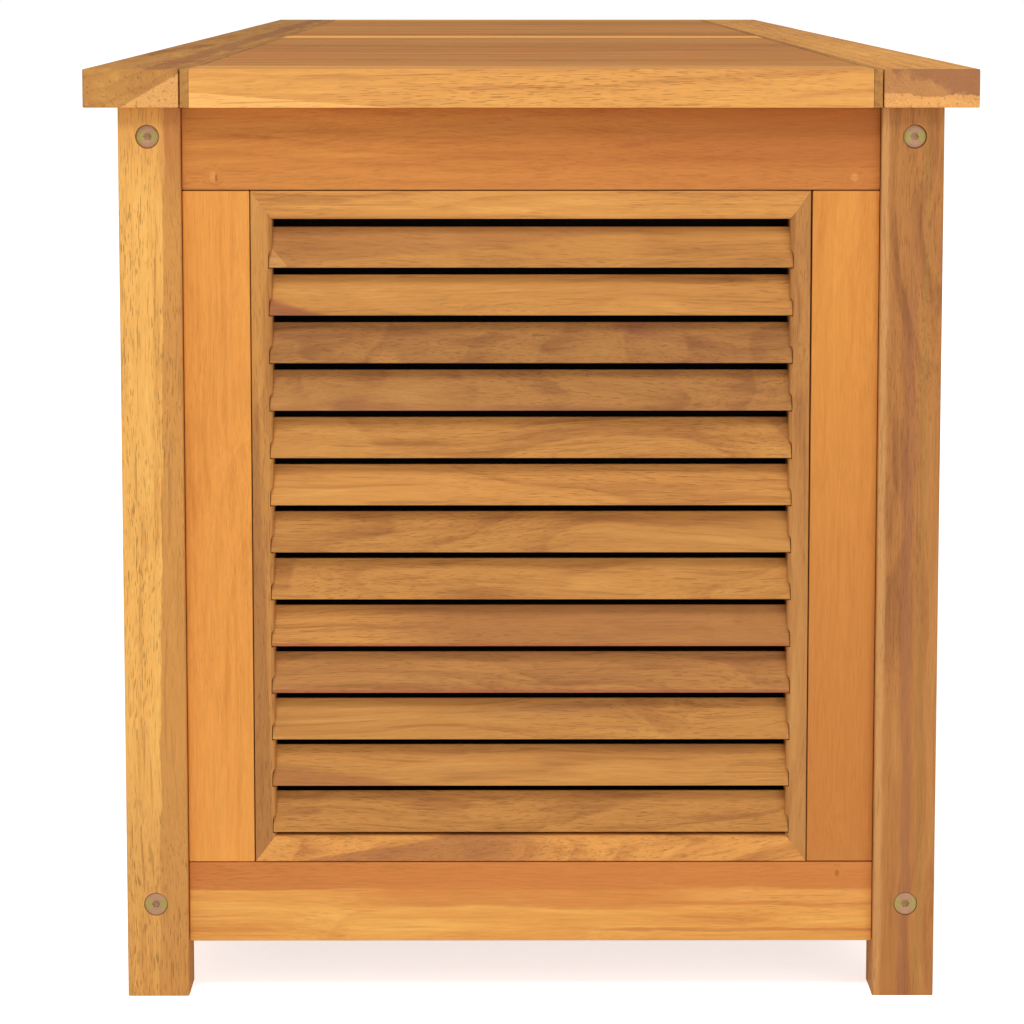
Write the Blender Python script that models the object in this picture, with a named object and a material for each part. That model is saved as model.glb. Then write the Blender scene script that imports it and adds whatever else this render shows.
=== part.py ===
"""Louvred wooden deck storage box with a hinged lid, at its real size in metres, +Z up.

X is the width, Y the length and Z the height. The origin is on the ground under the middle of
the box. The front long side faces -X and the hinges are on the rear side, +X. Seen from the
front, the right-hand end of the box faces -Y and the left-hand end faces +Y.
"""

import math

import bmesh
import bpy
from mathutils import Matrix, Vector

# Overall size
LID_WIDTH = 0.500
LID_LENGTH = 1.750
TOTAL_HEIGHT = 0.532
LID_THICKNESS = 0.0215
SIDE_OVERHANG = 0.0185
END_OVERHANG = 0.008

# Gaps between pieces
TOUCH = 0.0003
JOINT_LINE = 0.0006
SOCKET_GAP = 0.0003

# Body frame
POST = 0.035
POST_EASE = 0.0015
RAIL_THICKNESS = 0.022
RAIL_HEIGHT = 0.0463
RAIL_LIFT = 0.031
END_SETBACK = 0.005
SIDE_SETBACK = 0.0055
STILE_WIDTH = 0.038
SIDE_PANELS = 3
RAIL_TENON = Vector((0.012, 0.010, 0.030))
STILE_TENON = Vector((0.024, 0.008, 0.008))

# Louvre panels
MOULDING_SIDE = 0.0124
MOULDING_TOP = 0.0166
MOULDING_BOTTOM = 0.0151
SLATS_PER_PANEL = 13
SLAT_PITCH = 0.0271
SLAT_WIDTH = 0.0244
SLAT_THICKNESS = 0.007
SLAT_CHAMFER = 0.0008
SLAT_TILT = math.radians(21)
SLAT_SETBACK = 0.0005
SLAT_HOUSING = 0.004
LOWEST_SLAT_GAP = 0.0017
BACKING_THICKNESS = 0.0015
BACKING_INSET = 0.0008

# Frame bolts with their barrel nuts
BOLT_RADIUS = 0.003
BOLT_CLEARANCE = 0.0004
BOLT_HEAD_RADIUS = 0.0063
BOLT_HEAD_THICKNESS = 0.0028
COUNTERBORE_RADIUS = 0.0067
BOLT_HEIGHTS = {"bottom": 0.054, "top": 0.494}
COUNTERBORE_DEPTHS = {"bottom": 0.0036, "top": 0.005}
SOCKET_RADIUS = 0.0023
SOCKET_DEPTH = 0.0018
NUT_RADIUS = 0.005
NUT_LENGTH = 0.014
NUT_FROM_JOINT = 0.030

# Lid
LONG_RAIL_WIDTH = 0.0534
CROSS_RAIL_WIDTH = 0.066
CROSS_TENON = Vector((0.020, 0.045, 0.008))
LID_GAP = 0.0008
SLATS_PER_BAY = 7
LID_SLAT_GAP = 0.005
LID_SLAT_THICKNESS = 0.0145
TONGUE_LENGTH = 0.008
TONGUE_THICKNESS = 0.006
LID_BATTEN_WIDTH = 0.030
LID_BATTEN_X = 0.110

# Hinges
HINGE_LENGTH = 0.060
KNUCKLE_RADIUS = 0.0035
KNUCKLE_GAP = 0.0003
PIN_RADIUS = 0.0017
PIN_CLEARANCE = 0.0003
PIN_HEAD_RADIUS = 0.0030
PIN_HEAD_THICKNESS = 0.0012
LEAF_THICKNESS = 0.0014
LEAF_WIDTH = 0.018
HINGE_PLACES = {"right": -0.620, "middle": 0.0, "left": 0.620}

# Floor
CLEAT_WIDTH = 0.020
CLEAT_HEIGHT = 0.018
CLEAT_LIFT = 0.040
FLOOR_THICKNESS = 0.012
FLOOR_SLATS = 9
FLOOR_SLAT_GAP = 0.008
FLOOR_BATTEN_X = 0.110
FLOOR_BATTEN_WIDTH = 0.040
FLOOR_BATTEN_HEIGHT = 0.011

ROUND_SIDES = 12
OVERLAP = 0.002

# Derived places
LID_BOTTOM = TOTAL_HEIGHT - LID_THICKNESS
BODY_TOP = LID_BOTTOM - TOUCH
BODY_X = LID_WIDTH / 2 - SIDE_OVERHANG
BODY_Y = LID_LENGTH / 2 - END_OVERHANG
END_FACE = BODY_Y - END_SETBACK
SIDE_FACE = BODY_X - SIDE_SETBACK
CLEAR_X = BODY_X - POST
CLEAR_Y = BODY_Y - POST
LOWER_RAIL_TOP = RAIL_LIFT + RAIL_HEIGHT
UPPER_RAIL_BOTTOM = BODY_TOP - RAIL_HEIGHT
BOLT_X = SIDE_FACE - RAIL_THICKNESS / 2
HINGE_X = SIDE_FACE + TOUCH + KNUCKLE_RADIUS
HINGE_Z = BODY_TOP - KNUCKLE_RADIUS


def clear_scene():
    for obj in list(bpy.data.objects):
        bpy.data.objects.remove(obj, do_unlink=True)


def make_material(name, colour, roughness, metallic=0.0):
    material = bpy.data.materials.new(name)
    material.use_nodes = True
    shader = material.node_tree.nodes["Principled BSDF"]
    shader.inputs["Base Color"].default_value = (*colour, 1.0)
    shader.inputs["Roughness"].default_value = roughness
    shader.inputs["Metallic"].default_value = metallic
    return material


def make_empty(name, location=(0, 0, 0), turn=0.0):
    """A parent whose children keep their places in the box's own coordinates, before the turn."""
    empty = bpy.data.objects.new(name, None)
    empty.location = location
    empty.rotation_euler = (0, 0, turn)
    bpy.context.scene.collection.objects.link(empty)
    return empty


# Shapes: each function returns one that adds its shape to a bmesh.


def box(low, high):
    def add_to(bm):
        size = Vector(high) - Vector(low)
        middle = (Vector(high) + Vector(low)) / 2
        place = Matrix.Translation(middle) @ Matrix.Diagonal((*size, 1))
        bmesh.ops.create_cube(bm, size=1.0, matrix=place)

    return add_to


def rod(start, end, radius, sides=ROUND_SIDES):
    def add_to(bm):
        along = Vector(end) - Vector(start)
        turn = Vector((0, 0, 1)).rotation_difference(along).to_matrix().to_4x4()
        place = Matrix.Translation((Vector(start) + Vector(end)) / 2) @ turn
        bmesh.ops.create_cone(
            bm, cap_ends=True, segments=sides, radius1=radius, radius2=radius,
            depth=along.length, matrix=place,
        )

    return add_to


def prism(outline, x_low, x_high):
    """A (y, z) outline, anticlockwise seen from +X, run along X."""

    def add_to(bm):
        near = [bm.verts.new((x_low, y, z)) for y, z in outline]
        far = [bm.verts.new((x_high, y, z)) for y, z in outline]
        bm.faces.new(list(reversed(near)))
        bm.faces.new(far)
        for i in range(len(outline)):
            j = (i + 1) % len(outline)
            bm.faces.new((near[i], near[j], far[j], far[i]))

    return add_to


def make_mesh(name, shapes):
    bm = bmesh.new()
    for shape in shapes:
        shape(bm)
    mesh = bpy.data.meshes.new(name)
    bm.to_mesh(mesh)
    bm.free()
    return mesh


def attach(obj, parent):
    bpy.context.scene.collection.objects.link(obj)
    if parent:
        obj.parent = parent
        obj.matrix_parent_inverse = Matrix.Translation(-parent.location)


def shade_round(mesh):
    mesh.shade_smooth()
    mesh.set_sharp_from_angle(angle=math.radians(40))


def make_helper(name, shapes, parent):
    """A hidden object that a Boolean joins to a piece or cuts from it."""
    helper = bpy.data.objects.new(name, make_mesh(name, shapes))
    shade_round(helper.data)
    helper.hide_render = True
    helper.display_type = "WIRE"
    attach(helper, parent)
    return helper


def boolean(obj, operation, helper):
    modifier = obj.modifiers.new(operation.title(), "BOOLEAN")
    modifier.operation = operation
    modifier.solver = "EXACT"
    modifier.object = helper
    # Shapes in one helper may cross each other.
    modifier.use_self = True


def piece(name, material, shape, joined=(), cut=(), parent=None, ease=0.0):
    """One sub-part: a first shape, with its edges eased, then shapes joined to it and cut from it."""
    mesh = make_mesh(name, [shape])
    shade_round(mesh)
    corners = [vertex.co for vertex in mesh.vertices]
    middle = Vector([(min(axis) + max(axis)) / 2 for axis in zip(*corners)])
    mesh.transform(Matrix.Translation(-middle))
    mesh.materials.append(material)
    obj = bpy.data.objects.new(name, mesh)
    obj.location = middle
    attach(obj, parent)
    if ease:
        bevel = obj.modifiers.new("Eased edges", "BEVEL")
        bevel.width = ease
        bevel.segments = 1
    if joined:
        boolean(obj, "UNION", make_helper(name + "_joined", joined, parent))
    if cut:
        boolean(obj, "DIFFERENCE", make_helper(name + "_cut", cut, parent))
    return obj


def grown(low, high, gap):
    """The same box, larger by the gap all round, as the socket for a tenon."""
    margin = Vector((gap, gap, gap))
    return box(Vector(low) - margin, Vector(high) + margin)


# Corner posts


def rail_tenon(side, x_start, face_y, middle_z):
    """Corners of an end rail's tenon: side is +1 or -1 along X from x_start."""
    middle_y = face_y + RAIL_THICKNESS / 2
    tip = x_start + side * RAIL_TENON.x
    root = x_start - side * OVERLAP
    low = (min(root, tip), middle_y - RAIL_TENON.y / 2, middle_z - RAIL_TENON.z / 2)
    high = (max(root, tip), middle_y + RAIL_TENON.y / 2, middle_z + RAIL_TENON.z / 2)
    return low, high


def rail_levels():
    return {
        "bottom": (RAIL_LIFT, LOWER_RAIL_TOP),
        "top": (UPPER_RAIL_BOTTOM, BODY_TOP),
    }


def make_post(name, side_x, side_y, material):
    """side_x and side_y are the signs of the post's corner."""
    x_low, x_high = sorted((side_x * CLEAR_X, side_x * BODY_X))
    y_low, y_high = sorted((side_y * CLEAR_Y, side_y * BODY_Y))
    cut = []
    for low_z, high_z in rail_levels().values():
        low, high = rail_tenon(side_x, side_x * CLEAR_X, -END_FACE, (low_z + high_z) / 2)
        if side_y > 0:
            low, high = (low[0], -high[1], low[2]), (high[0], -low[1], high[2])
        cut.append(grown(low, high, SOCKET_GAP))
    for level, z in BOLT_HEIGHTS.items():
        outer = (side_x * BOLT_X, side_y * (BODY_Y + OVERLAP), z)
        seat = (side_x * BOLT_X, side_y * (BODY_Y - COUNTERBORE_DEPTHS[level]), z)
        inner = (side_x * BOLT_X, side_y * (CLEAR_Y - OVERLAP), z)
        cut.append(rod(outer, seat, COUNTERBORE_RADIUS))
        cut.append(rod(outer, inner, BOLT_RADIUS + BOLT_CLEARANCE))
    shape = box((x_low, y_low, 0), (x_high, y_high, BODY_TOP))
    piece(name, material, shape, cut=cut, ease=POST_EASE)


def make_posts(material):
    for long_side, side_x in (("front", -1), ("rear", 1)):
        for end, side_y in (("right", -1), ("left", 1)):
            make_post(f"post_{long_side}_{end}", side_x, side_y, material)


# Walls. A wall is made facing -Y, and its empty turns it to its place.


def stile_tenons(low_x, high_x, face_y):
    """Corners of a stile's lower and upper tenons, which reach into the rails."""
    middle_x = (low_x + high_x) / 2
    middle_y = face_y + RAIL_THICKNESS / 2
    half = Vector((STILE_TENON.x / 2, STILE_TENON.y / 2, 0))
    reach = STILE_TENON.z + JOINT_LINE
    lower = Vector((middle_x, middle_y, LOWER_RAIL_TOP + JOINT_LINE))
    upper = Vector((middle_x, middle_y, UPPER_RAIL_BOTTOM - JOINT_LINE))
    return (
        (lower - half - Vector((0, 0, reach)), lower + half + Vector((0, 0, OVERLAP))),
        (upper - half - Vector((0, 0, OVERLAP)), upper + half + Vector((0, 0, reach))),
    )


def bolt_sockets(clear, middle_y, z):
    """The bolt's bore and the barrel nut's cross hole at both ends of a long rail."""
    shapes = []
    inner_y = middle_y + RAIL_THICKNESS / 2
    for side in (-1, 1):
        mouth = side * (clear + OVERLAP)
        bottom = side * (clear - NUT_FROM_JOINT - NUT_RADIUS - OVERLAP)
        radius = BOLT_RADIUS + BOLT_CLEARANCE
        shapes.append(rod((mouth, middle_y, z), (bottom, middle_y, z), radius))
        nut_x = side * (clear - NUT_FROM_JOINT)
        deep = (nut_x, middle_y - NUT_LENGTH / 2 - TOUCH, z)
        shapes.append(rod(deep, (nut_x, inner_y + OVERLAP, z), NUT_RADIUS + SOCKET_GAP))
    return shapes


def slat_outline(face_y, lowest_z):
    """A tilted slat's section: its lower edge stands forward and is cut level, its upper edge lies inward."""
    cos, sin = math.cos(SLAT_TILT), math.sin(SLAT_TILT)
    up_face = Vector((sin, cos)) * SLAT_WIDTH
    through = Vector((cos, -sin)) * SLAT_THICKNESS
    level_cut = Vector((SLAT_THICKNESS / cos, 0))
    corners = [Vector((0, 0)), level_cut, up_face + through, up_face]
    outline = []
    for i, corner in enumerate(corners):
        to_last = (corners[i - 1] - corner).normalized() * SLAT_CHAMFER
        to_next = (corners[(i + 1) % len(corners)] - corner).normalized() * SLAT_CHAMFER
        outline += [corner + to_last, corner + to_next]
    return [(face_y + SLAT_SETBACK + y, lowest_z + z) for y, z in outline]


def make_louver_panel(name, low_x, high_x, face_y, material, parent):
    """A moulded frame with its slats housed in the two uprights, and a dark backing board behind."""
    back_y = face_y + RAIL_THICKNESS
    bottom = LOWER_RAIL_TOP + JOINT_LINE
    top = UPPER_RAIL_BOTTOM - JOINT_LINE
    open_low_x = low_x + MOULDING_SIDE
    open_high_x = high_x - MOULDING_SIDE
    slats = []
    for i in range(SLATS_PER_PANEL):
        lowest = bottom + MOULDING_BOTTOM + LOWEST_SLAT_GAP + i * SLAT_PITCH
        outline = slat_outline(face_y, lowest)
        slats.append(prism(outline, open_low_x - SLAT_HOUSING, open_high_x + SLAT_HOUSING))
    backing_y = back_y - BACKING_INSET
    backing = box(
        (open_low_x - SLAT_HOUSING, backing_y - BACKING_THICKNESS, bottom + MOULDING_BOTTOM - SLAT_HOUSING),
        (open_high_x + SLAT_HOUSING, backing_y, top - MOULDING_TOP + SLAT_HOUSING),
    )
    opening = box(
        (open_low_x, face_y - OVERLAP, bottom + MOULDING_BOTTOM),
        (open_high_x, back_y + OVERLAP, top - MOULDING_TOP),
    )
    frame = piece(
        name, material, box((low_x, face_y, bottom), (high_x, back_y, top)),
        cut=[opening], parent=parent,
    )
    boolean(frame, "UNION", make_helper(name + "_inside", slats + [backing], parent))


def make_wall(name, turn, face, clear, panels, bolted, materials):
    """Two rails, the stiles between them and the louvre panels between the stiles."""
    wall = make_empty(name + "_wall", turn=turn)
    face_y = -face
    back_y = face_y + RAIL_THICKNESS
    panel_width = (2 * clear - (panels + 1) * STILE_WIDTH) / panels
    pitch = panel_width + STILE_WIDTH
    starts = [-clear + i * pitch for i in range(panels + 1)]
    stiles = [(x + TOUCH * (i == 0), x + STILE_WIDTH - TOUCH * (i == panels))
              for i, x in enumerate(starts)]
    tenons = [stile_tenons(low, high, face_y) for low, high in stiles]

    for which, (level, (low_z, high_z)) in enumerate(rail_levels().items()):
        cut = [grown(*pair[which], SOCKET_GAP) for pair in tenons]
        joined = []
        if bolted:
            cut += bolt_sockets(clear, face_y + RAIL_THICKNESS / 2, BOLT_HEIGHTS[level])
        else:
            middle_z = (low_z + high_z) / 2
            joined = [box(*rail_tenon(side, side * (clear - TOUCH), face_y, middle_z))
                      for side in (-1, 1)]
        low = (-clear + TOUCH, face_y, low_z)
        high = (clear - TOUCH, back_y, high_z)
        piece(f"{name}_{level}_rail", materials["rail"], box(low, high), joined, cut, wall)

    for number, (low_x, high_x) in enumerate(stiles, start=1):
        low = (low_x, face_y, LOWER_RAIL_TOP + JOINT_LINE)
        high = (high_x, back_y, UPPER_RAIL_BOTTOM - JOINT_LINE)
        joined = [box(*pair) for pair in tenons[number - 1]]
        piece(f"{name}_stile_{number}", materials["stile"], box(low, high), joined, (), wall)

    for number in range(1, panels + 1):
        low_x = stiles[number - 1][1] + JOINT_LINE
        high_x = stiles[number][0] - JOINT_LINE
        label = f"{name}_louver_panel" + (f"_{number}" if panels > 1 else "")
        make_louver_panel(label, low_x, high_x, face_y, materials["louver"], wall)


def make_walls(materials):
    make_wall("right_end", 0.0, END_FACE, CLEAR_X, 1, False, materials)
    make_wall("left_end", math.pi, END_FACE, CLEAR_X, 1, False, materials)
    make_wall("front", -math.pi / 2, SIDE_FACE, CLEAR_Y, SIDE_PANELS, True, materials)
    make_wall("rear", math.pi / 2, SIDE_FACE, CLEAR_Y, SIDE_PANELS, True, materials)


# Bolts


def make_bolt(name, side_x, side_y, level, material):
    """A flat-headed bolt screwed into its barrel nut inside the long rail."""
    x = side_x * BOLT_X
    z = BOLT_HEIGHTS[level]
    seat_y = BODY_Y - COUNTERBORE_DEPTHS[level] + TOUCH
    face_y = seat_y + BOLT_HEAD_THICKNESS
    nut_y = CLEAR_Y - NUT_FROM_JOINT
    head = rod((x, side_y * face_y, z), (x, side_y * seat_y, z), BOLT_HEAD_RADIUS)
    shank = rod(
        (x, side_y * (seat_y + OVERLAP / 2), z), (x, side_y * (nut_y - NUT_RADIUS), z), BOLT_RADIUS
    )
    nut = rod((x - NUT_LENGTH / 2, side_y * nut_y, z), (x + NUT_LENGTH / 2, side_y * nut_y, z), NUT_RADIUS)
    hex_socket = rod(
        (x, side_y * (face_y + OVERLAP), z), (x, side_y * (face_y - SOCKET_DEPTH), z), SOCKET_RADIUS, 6
    )
    piece(name, material, head, [shank, nut], [hex_socket])


def make_bolts(material):
    for long_side, side_x in (("front", -1), ("rear", 1)):
        for end, side_y in (("right", -1), ("left", 1)):
            for level in BOLT_HEIGHTS:
                make_bolt(f"bolt_{long_side}_{end}_{level}", side_x, side_y, level, material)


# Lid


def cross_rail_places():
    """The Y span of each rail across the lid."""
    end = LID_LENGTH / 2
    half = CROSS_RAIL_WIDTH / 2
    return {
        "right_end": (-end, -end + CROSS_RAIL_WIDTH),
        "middle": (-half, half),
        "left_end": (end - CROSS_RAIL_WIDTH, end),
    }


def cross_tenon(side, low_y, high_y):
    middle_y = (low_y + high_y) / 2
    middle_z = LID_BOTTOM + LID_THICKNESS / 2
    inner = LID_WIDTH / 2 - LONG_RAIL_WIDTH - LID_GAP
    x_low, x_high = sorted((side * (inner - OVERLAP), side * (inner + CROSS_TENON.x)))
    half_y = CROSS_TENON.y / 2
    half_z = CROSS_TENON.z / 2
    return (x_low, middle_y - half_y, middle_z - half_z), (x_high, middle_y + half_y, middle_z + half_z)


def bay_places():
    rails = cross_rail_places()
    return {
        "right": (rails["right_end"][1], rails["middle"][0]),
        "left": (rails["middle"][1], rails["left_end"][0]),
    }


def tongue_levels():
    middle = TOTAL_HEIGHT - LID_SLAT_THICKNESS / 2
    return middle - TONGUE_THICKNESS / 2, middle + TONGUE_THICKNESS / 2


def make_long_lid_rails(material, lid):
    inner = LID_WIDTH / 2 - LONG_RAIL_WIDTH
    low_z, high_z = tongue_levels()
    for name, side in (("front", -1), ("rear", 1)):
        cut = [grown(*cross_tenon(side, *span), SOCKET_GAP) for span in cross_rail_places().values()]
        for low_y, high_y in bay_places().values():
            x_low, x_high = sorted((side * (inner - OVERLAP), side * (inner + TONGUE_LENGTH)))
            cut.append(box((x_low, low_y, low_z - SOCKET_GAP), (x_high, high_y, high_z + SOCKET_GAP)))
        x_low, x_high = sorted((side * inner, side * LID_WIDTH / 2))
        shape = box((x_low, -LID_LENGTH / 2, LID_BOTTOM), (x_high, LID_LENGTH / 2, TOTAL_HEIGHT))
        piece(f"lid_{name}_rail", material, shape, (), cut, lid)


def make_cross_lid_rails(material, lid):
    inner = LID_WIDTH / 2 - LONG_RAIL_WIDTH - LID_GAP
    for name, (low_y, high_y) in cross_rail_places().items():
        shape = box((-inner, low_y, LID_BOTTOM), (inner, high_y, TOTAL_HEIGHT))
        joined = [box(*cross_tenon(side, low_y, high_y)) for side in (-1, 1)]
        piece(f"lid_{name}_rail", material, shape, joined, (), lid)


def make_lid_slats(name, low_y, high_y, material, lid):
    """Slats across the lid, tongued into the long rails and joined by two battens underneath."""
    inner = LID_WIDTH / 2 - LONG_RAIL_WIDTH - LID_GAP
    reach = inner + LID_GAP + TONGUE_LENGTH - SOCKET_GAP
    slat_low = TOTAL_HEIGHT - LID_SLAT_THICKNESS
    width = (high_y - low_y - (SLATS_PER_BAY + 1) * LID_SLAT_GAP) / SLATS_PER_BAY
    tongue_low, tongue_high = tongue_levels()
    joined = []
    for i in range(SLATS_PER_BAY):
        start = low_y + LID_SLAT_GAP + i * (width + LID_SLAT_GAP)
        joined.append(box((-inner, start, slat_low), (inner, start + width, TOTAL_HEIGHT)))
        joined.append(box((-reach, start, tongue_low), (reach, start + width, tongue_high)))
    ends = (low_y + LID_SLAT_GAP, high_y - LID_SLAT_GAP)
    battens = []
    for x in (-LID_BATTEN_X, LID_BATTEN_X):
        low = (x - LID_BATTEN_WIDTH / 2, ends[0], LID_BOTTOM)
        high = (x + LID_BATTEN_WIDTH / 2, ends[1], slat_low + OVERLAP)
        battens.append(box(low, high))
    piece(name, material, battens[0], [battens[1]] + joined, (), lid)


def make_lid(material, slat_material, lid):
    make_long_lid_rails(material, lid)
    make_cross_lid_rails(material, lid)
    for name, (low_y, high_y) in bay_places().items():
        make_lid_slats(f"lid_slats_{name}", low_y, high_y, slat_material, lid)


# Hinges


def make_hinge(name, middle_y, material, lid):
    """A butt hinge: the body leaf has two knuckles, the lid leaf has the one between them."""
    half = HINGE_LENGTH / 2
    third = HINGE_LENGTH / 6
    bore = PIN_RADIUS + PIN_CLEARANCE

    def along(start, end, radius):
        return rod((HINGE_X, middle_y + start, HINGE_Z), (HINGE_X, middle_y + end, HINGE_Z), radius)

    inside = HINGE_X - KNUCKLE_RADIUS
    body_leaf = box(
        (inside, middle_y - half, HINGE_Z - LEAF_WIDTH), (inside + LEAF_THICKNESS, middle_y + half, HINGE_Z)
    )
    middle_notch = box(
        (inside - OVERLAP, middle_y - third - KNUCKLE_GAP, HINGE_Z - KNUCKLE_RADIUS - KNUCKLE_GAP),
        (inside + LEAF_THICKNESS + OVERLAP, middle_y + third + KNUCKLE_GAP, HINGE_Z + OVERLAP),
    )
    outer_knuckles = [
        along(-half, -third - KNUCKLE_GAP, KNUCKLE_RADIUS),
        along(third + KNUCKLE_GAP, half, KNUCKLE_RADIUS),
    ]
    piece(
        f"hinge_{name}_body_leaf", material, body_leaf, outer_knuckles,
        [along(-half - OVERLAP, half + OVERLAP, bore), middle_notch],
    )
    top = HINGE_Z + KNUCKLE_RADIUS
    clear = HINGE_X + KNUCKLE_RADIUS + KNUCKLE_GAP
    lid_leaf = box(
        (HINGE_X, middle_y - third, top - LEAF_THICKNESS), (HINGE_X + LEAF_WIDTH, middle_y + third, top)
    )
    wings = box(
        (clear, middle_y - half, top - LEAF_THICKNESS), (HINGE_X + LEAF_WIDTH, middle_y + half, top)
    )
    piece(
        f"hinge_{name}_lid_leaf", material, lid_leaf,
        [wings, along(-third, third, KNUCKLE_RADIUS)],
        [along(-third - OVERLAP, third + OVERLAP, bore)], lid,
    )
    tip = half + TOUCH
    heads = [
        along(-tip - PIN_HEAD_THICKNESS, -tip, PIN_HEAD_RADIUS),
        along(tip, tip + PIN_HEAD_THICKNESS, PIN_HEAD_RADIUS),
    ]
    pin = along(-tip - PIN_HEAD_THICKNESS / 2, tip + PIN_HEAD_THICKNESS / 2, PIN_RADIUS)
    piece(f"hinge_{name}_pin", material, pin, heads)


# Floor


def make_floor(material):
    """Two slatted panels that lie on cleats along the long bottom rails."""
    wall_x = SIDE_FACE - RAIL_THICKNESS - TOUCH
    reach_y = CLEAR_Y - TOUCH
    for name, side in (("front", -1), ("rear", 1)):
        x_low, x_high = sorted((side * wall_x, side * (wall_x - CLEAT_WIDTH)))
        shape = box((x_low, -reach_y, CLEAT_LIFT), (x_high, reach_y, CLEAT_LIFT + CLEAT_HEIGHT))
        piece(f"floor_cleat_{name}", material, shape)

    floor_low = CLEAT_LIFT + CLEAT_HEIGHT + TOUCH
    floor_high = floor_low + FLOOR_THICKNESS
    for name, side in (("right", -1), ("left", 1)):
        low_y, high_y = sorted((side * TOUCH, side * reach_y))
        width = (high_y - low_y - (FLOOR_SLATS - 1) * FLOOR_SLAT_GAP) / FLOOR_SLATS
        slats = []
        for i in range(FLOOR_SLATS):
            start = low_y + i * (width + FLOOR_SLAT_GAP)
            slats.append(box((-wall_x, start, floor_low), (wall_x, start + width, floor_high)))
        battens = []
        for x in (-FLOOR_BATTEN_X, FLOOR_BATTEN_X):
            low = (x - FLOOR_BATTEN_WIDTH / 2, low_y, floor_low - FLOOR_BATTEN_HEIGHT)
            high = (x + FLOOR_BATTEN_WIDTH / 2, high_y, floor_low + OVERLAP)
            battens.append(box(low, high))
        piece(f"floor_panel_{name}", material, battens[0], [battens[1]] + slats)


def main():
    clear_scene()
    post_wood = make_material("post_wood", (0.55, 0.27, 0.09), 0.55)
    wall_woods = {
        "rail": make_material("rail_wood", (0.47, 0.18, 0.06), 0.55),
        "stile": make_material("stile_wood", (0.55, 0.23, 0.06), 0.55),
        "louver": make_material("louver_wood", (0.50, 0.24, 0.09), 0.55),
    }
    lid_wood = make_material("lid_wood", (0.58, 0.31, 0.12), 0.55)
    lid_slat_wood = make_material("lid_slat_wood", (0.46, 0.21, 0.08), 0.6)
    floor_wood = make_material("floor_wood", (0.45, 0.22, 0.09), 0.65)
    zinc = make_material("yellow_zinc", (0.42, 0.36, 0.16), 0.35, 1.0)
    steel = make_material("hinge_steel", (0.50, 0.49, 0.46), 0.4, 1.0)

    lid = make_empty("lid_hinge_axis", (HINGE_X, 0, HINGE_Z))
    make_posts(post_wood)
    make_walls(wall_woods)
    make_bolts(zinc)
    make_lid(lid_wood, lid_slat_wood, lid)
    for name, middle_y in HINGE_PLACES.items():
        make_hinge(name, middle_y, steel, lid)
    make_floor(floor_wood)


main()
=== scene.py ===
"""Looks of the louvred wooden deck storage box: oiled teak, yellow-zinc bolts and steel hinges.

Everything is in metres in the frame of the CAD model: X is the width, Y the length, Z the height.
The front long side faces -X, the hinges are at +X, and the right-hand end faces -Y.
"""

import math
import random

import bmesh
import bpy
from mathutils import Matrix, Vector


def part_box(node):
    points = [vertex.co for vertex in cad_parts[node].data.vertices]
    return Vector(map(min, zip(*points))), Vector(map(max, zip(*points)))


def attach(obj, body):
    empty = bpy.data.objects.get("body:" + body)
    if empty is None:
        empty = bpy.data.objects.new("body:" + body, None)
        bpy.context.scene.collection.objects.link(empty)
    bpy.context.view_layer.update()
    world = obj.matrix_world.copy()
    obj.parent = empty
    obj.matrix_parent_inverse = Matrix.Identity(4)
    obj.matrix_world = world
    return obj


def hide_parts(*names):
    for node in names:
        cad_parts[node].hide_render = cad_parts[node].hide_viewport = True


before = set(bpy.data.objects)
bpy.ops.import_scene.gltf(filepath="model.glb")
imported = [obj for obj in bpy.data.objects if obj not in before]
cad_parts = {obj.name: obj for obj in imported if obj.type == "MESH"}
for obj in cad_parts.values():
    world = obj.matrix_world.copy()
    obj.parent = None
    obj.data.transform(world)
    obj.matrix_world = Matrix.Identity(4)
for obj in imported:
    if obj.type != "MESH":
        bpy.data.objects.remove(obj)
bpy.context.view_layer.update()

TAU = 2 * math.pi

# Edges and gaps
RAIL_EDGE = 0.0006
POST_EDGE = 0.0012
LID_EDGE = 0.0008
TIGHT_EDGE = 0.0003
BOARD_EDGE = 0.0012
ROUND_SEGMENTS = 3
HAIRLINE = 0.0001
BEVEL_ABOVE = math.radians(40)
SHARP_ABOVE = math.radians(35)
CUT_OVERLAP = 0.001

# Louvre panels
MOULDING_SIDE = 0.0117
MOULDING_TOP = 0.0160
MOULDING_BOTTOM = 0.0151
MOULDING_DEPTH = 0.022
MOULDING_ROUND = 0.0042
MOULDING_TAPER = 0.0004
SLATS_PER_PANEL = 13
SLAT_PITCH = 0.0271
SLAT_WIDTH = 0.0244
SLAT_THICKNESS = 0.007
SLAT_NOSE_ROUND = 0.0007
SLAT_BACK_ROUND = 0.0022
SLAT_TILT = math.radians(21)
SLAT_SETBACK = 0.0005
SLAT_HOUSING = 0.0015
LOWEST_SLAT_GAP = 0.0017
HOUSING_GAP = 0.0004
NOTCH_HEIGHT = 0.0100
NOTCH_CURVE = 0.004
NOTCH_DEPTH = 0.0055
BACKING_INSET = 0.0008
BACKING_THICKNESS = 0.0015

# Lid
EDGE_STRIP = 0.0048
LID_GAP = 0.0008
SLATS_PER_BAY = 7
LID_SLAT_GAP = 0.005
LID_SLAT_THICKNESS = 0.0145
LID_BATTEN = (0.110, 0.030)

# Specular level of the wood of the lid and the floor
BOARD_GLOSS = 0.02

# Floor
FLOOR_BOARDS = 9
FLOOR_BOARD_GAP = 0.008
FLOOR_BOARD_THICKNESS = 0.012
FLOOR_BATTEN = (0.110, 0.040)

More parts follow.
